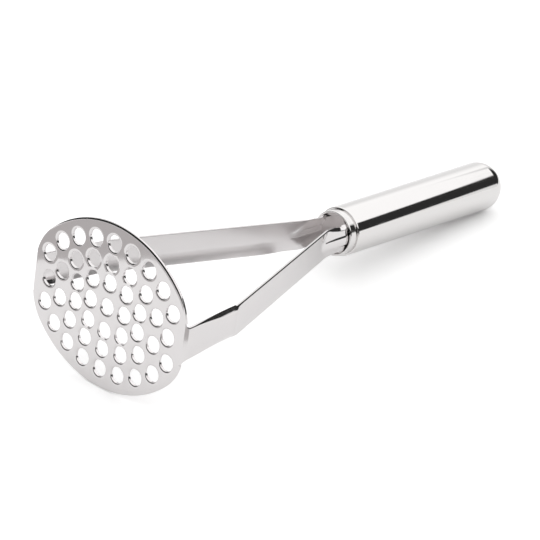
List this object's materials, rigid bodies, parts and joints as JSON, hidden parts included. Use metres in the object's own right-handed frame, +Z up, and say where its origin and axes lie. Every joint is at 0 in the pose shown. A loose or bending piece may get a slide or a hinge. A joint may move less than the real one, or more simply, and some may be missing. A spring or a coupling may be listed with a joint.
{
  "type": "potato masher",
  "caption": "Stainless steel potato masher with a perforated oval plate, a pair of strap arms and a round tube handle with a domed end.",
  "frame": {"origin": "centre of the footprint on the table that the masher lies on", "axes": "+X along the tool from the mashing plate to the handle's end, +Y across from one arm to the other, +Z up"},
  "size_m": [0.2872, 0.0852, 0.0718],
  "materials": {
    "head_steel": "satin polished stainless sheet",
    "core_steel": "turned stainless steel",
    "ferrule_steel": "polished stainless steel",
    "handle_steel": "mirror polished stainless steel"
  },
  "bodies": {
    "root": {"masher_head": "head_steel", "tang_core": "core_steel", "ferrule": "ferrule_steel", "handle_tube": "handle_steel", "handle_end_cap": "handle_steel"}
  },
  "joints": []
}
